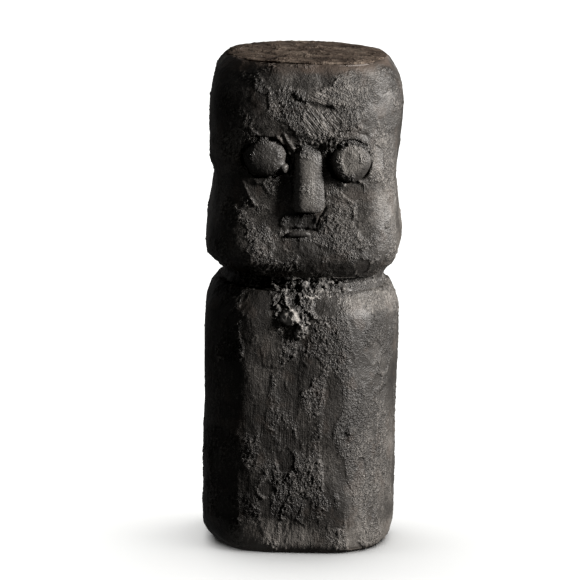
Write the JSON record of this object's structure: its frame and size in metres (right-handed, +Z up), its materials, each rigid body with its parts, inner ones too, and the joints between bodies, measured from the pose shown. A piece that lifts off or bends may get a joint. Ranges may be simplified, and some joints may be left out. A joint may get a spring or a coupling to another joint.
{
  "type": "tiki figure",
  "caption": "Free-standing ceramic ancestor figure with a squared head on a drum body, round eyes, a long nose and a rough black mineral crust.",
  "frame": {"origin": "middle of the footprint, on the surface that the foot pads stand on", "axes": "+Z up along the figure, from foot to crown; the face looks along -Y, so +X is the figure's own left"},
  "size_m": [0.16, 0.16, 0.4],
  "materials": {
    "black_crust": "matte, crackled mineral crust",
    "worn_crust": "matte, rubbed smooth",
    "mortar": "matte, coarse and crumbly",
    "crown_clay": "matte, scraped flat",
    "bare_clay": "matte, unglazed",
    "felt": "soft felt"
  },
  "bodies": {
    "root": {"body_shell": "black_crust", "head_shell": "black_crust", "neck_coil": "mortar", "crown_slab": "crown_clay", "base_slab": "bare_clay", "left_eye": "worn_crust", "right_eye": "worn_crust", "left_eye_bed": "mortar", "right_eye_bed": "mortar", "nose": "worn_crust", "lower_lip": "worn_crust", "chest_crust": "mortar", "forehead_crust": "mortar", "foot_pads": "felt"}
  },
  "joints": []
}
